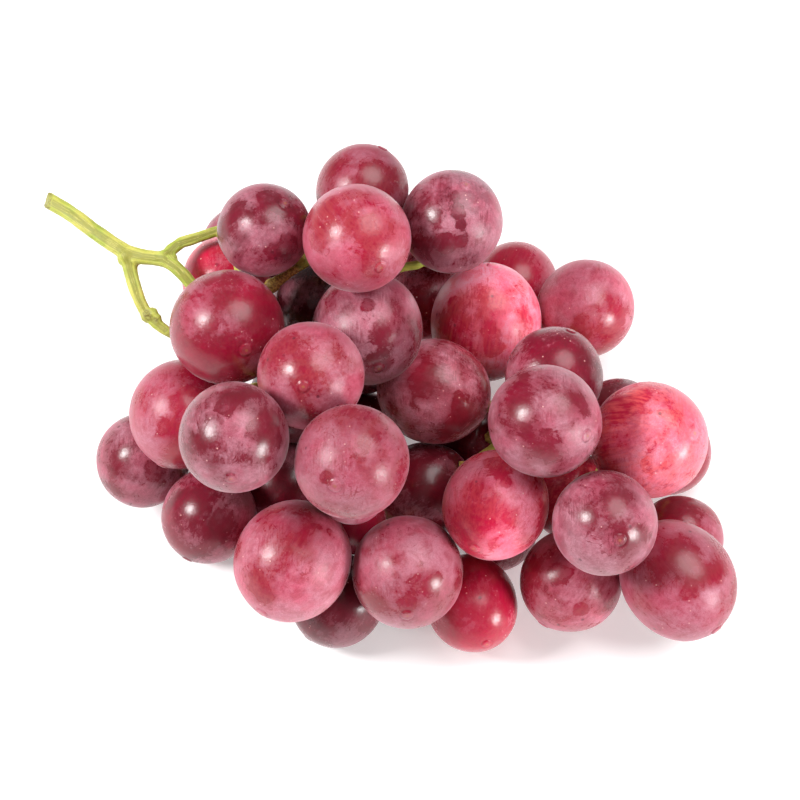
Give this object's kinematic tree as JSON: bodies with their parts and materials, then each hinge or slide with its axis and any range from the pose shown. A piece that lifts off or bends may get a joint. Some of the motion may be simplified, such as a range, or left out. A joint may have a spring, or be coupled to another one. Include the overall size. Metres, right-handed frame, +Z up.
{
  "type": "bunch of grapes",
  "caption": "Bunch of round red table grapes on a branching green stalk, lying on its side, with the cut end of the stalk free at one end.",
  "frame": {"origin": "middle of the bunch's box, on the surface that it lies on", "axes": "+X along the bunch from the cut stalk to the tip, +Y across it, +Z up from the surface"},
  "size_m": [0.1646, 0.1192, 0.0923],
  "materials": {
    "stalk": "fresh yellow-green plant stalk, matt, with brown knots and warty collars",
    "skin_crimson": "crimson grape skin, softly glossy, translucent, with thin waxy bloom",
    "skin_pink": "pink-red grape skin under a pale waxy bloom rubbed off in patches",
    "skin_plum": "mauve-plum grape skin with a grey waxy bloom",
    "skin_dark": "dark maroon grape skin, glossy, with little bloom"
  },
  "bodies": {
    "root": {"stem": "stalk", "grape_01": "skin_pink", "grape_02": "skin_crimson", "grape_03": "skin_plum", "grape_04": "skin_crimson", "grape_05": "skin_crimson", "grape_06": "skin_crimson", "grape_07": "skin_plum", "grape_08": "skin_plum", "grape_09": "skin_plum", "grape_10": "skin_plum", "grape_11": "skin_pink", "grape_12": "skin_pink", "grape_13": "skin_plum", "grape_14": "skin_dark", "grape_15": "skin_pink", "grape_16": "skin_dark", "grape_17": "skin_crimson", "grape_18": "skin_pink", "grape_19": "skin_pink", "grape_20": "skin_pink", "grape_21": "skin_crimson", "grape_22": "skin_crimson", "grape_23": "skin_plum", "grape_24": "skin_pink", "grape_25": "skin_dark", "grape_26": "skin_dark", "grape_27": "skin_plum", "grape_28": "skin_plum", "grape_29": "skin_plum", "grape_30": "skin_pink", "grape_31": "skin_crimson", "grape_32": "skin_crimson", "grape_33": "skin_crimson", "grape_34": "skin_dark", "grape_35": "skin_crimson", "grape_36": "skin_dark", "grape_37": "skin_dark", "grape_38": "skin_dark", "grape_39": "skin_dark", "grape_40": "skin_crimson", "grape_41": "skin_plum", "grape_42": "skin_pink", "grape_43": "skin_plum", "grape_44": "skin_dark", "grape_45": "skin_crimson", "grape_46": "skin_plum", "grape_47": "skin_pink", "grape_48": "skin_plum", "grape_49": "skin_dark", "grape_50": "skin_crimson", "grape_51": "skin_plum", "grape_52": "skin_pink", "grape_53": "skin_plum", "grape_54": "skin_dark", "grape_55": "skin_crimson", "grape_56": "skin_plum", "grape_57": "skin_pink", "grape_58": "skin_plum"}
  },
  "joints": []
}
